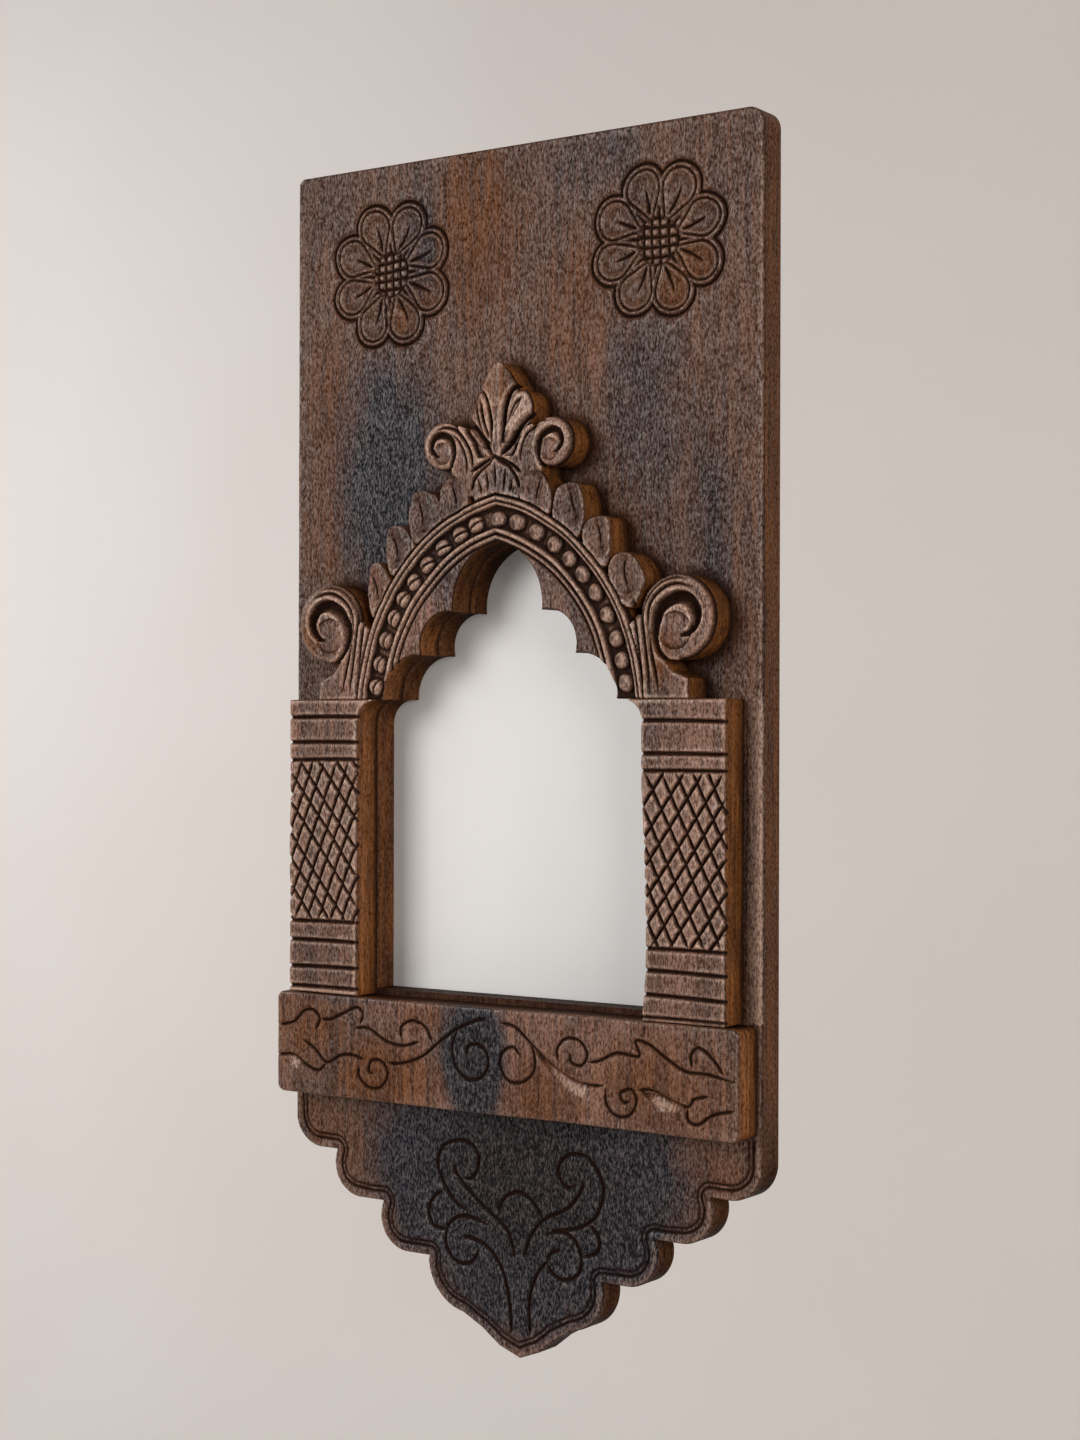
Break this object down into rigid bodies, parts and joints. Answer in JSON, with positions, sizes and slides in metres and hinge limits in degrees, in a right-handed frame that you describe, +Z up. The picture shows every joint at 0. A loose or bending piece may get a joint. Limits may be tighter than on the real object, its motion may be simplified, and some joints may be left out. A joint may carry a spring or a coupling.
{
  "type": "carved niche wall mirror",
  "caption": "Tall carved wooden wall mirror with a scalloped apron, a cusped arch on banded pillars, a vine-carved sill and two rosettes.",
  "frame": {"origin": "on the wall plane, at the centre line, level with the line where the arch springs from the pillars; centre of the rear cover's face in X", "axes": "+X to the viewer's right, +Y into the wall, +Z up"},
  "size_m": [0.282, 0.037, 0.603],
  "materials": {
    "stained_board": "dark walnut stain, satin, blotchy",
    "stained_frame": "dark walnut stain, waxed, worn pale on raised edges",
    "mirror": "slightly hazy aged silvering",
    "hardboard": "smooth brown hardboard",
    "steel": "zinc plated",
    "felt": "dark wool felt"
  },
  "bodies": {
    "root": {"backboard": "stained_board", "arch_crest": "stained_frame", "left_pillar": "stained_frame", "right_pillar": "stained_frame", "sill_rail": "stained_frame", "mirror_glass": "mirror", "back_cover": "hardboard", "arch_screws": "steel", "pillar_screws": "steel", "sill_screws": "steel", "cover_screws": "steel", "left_hanging_plate": "steel", "right_hanging_plate": "steel", "plate_screws": "steel", "left_wall_pad": "felt", "right_wall_pad": "felt"}
  },
  "joints": []
}
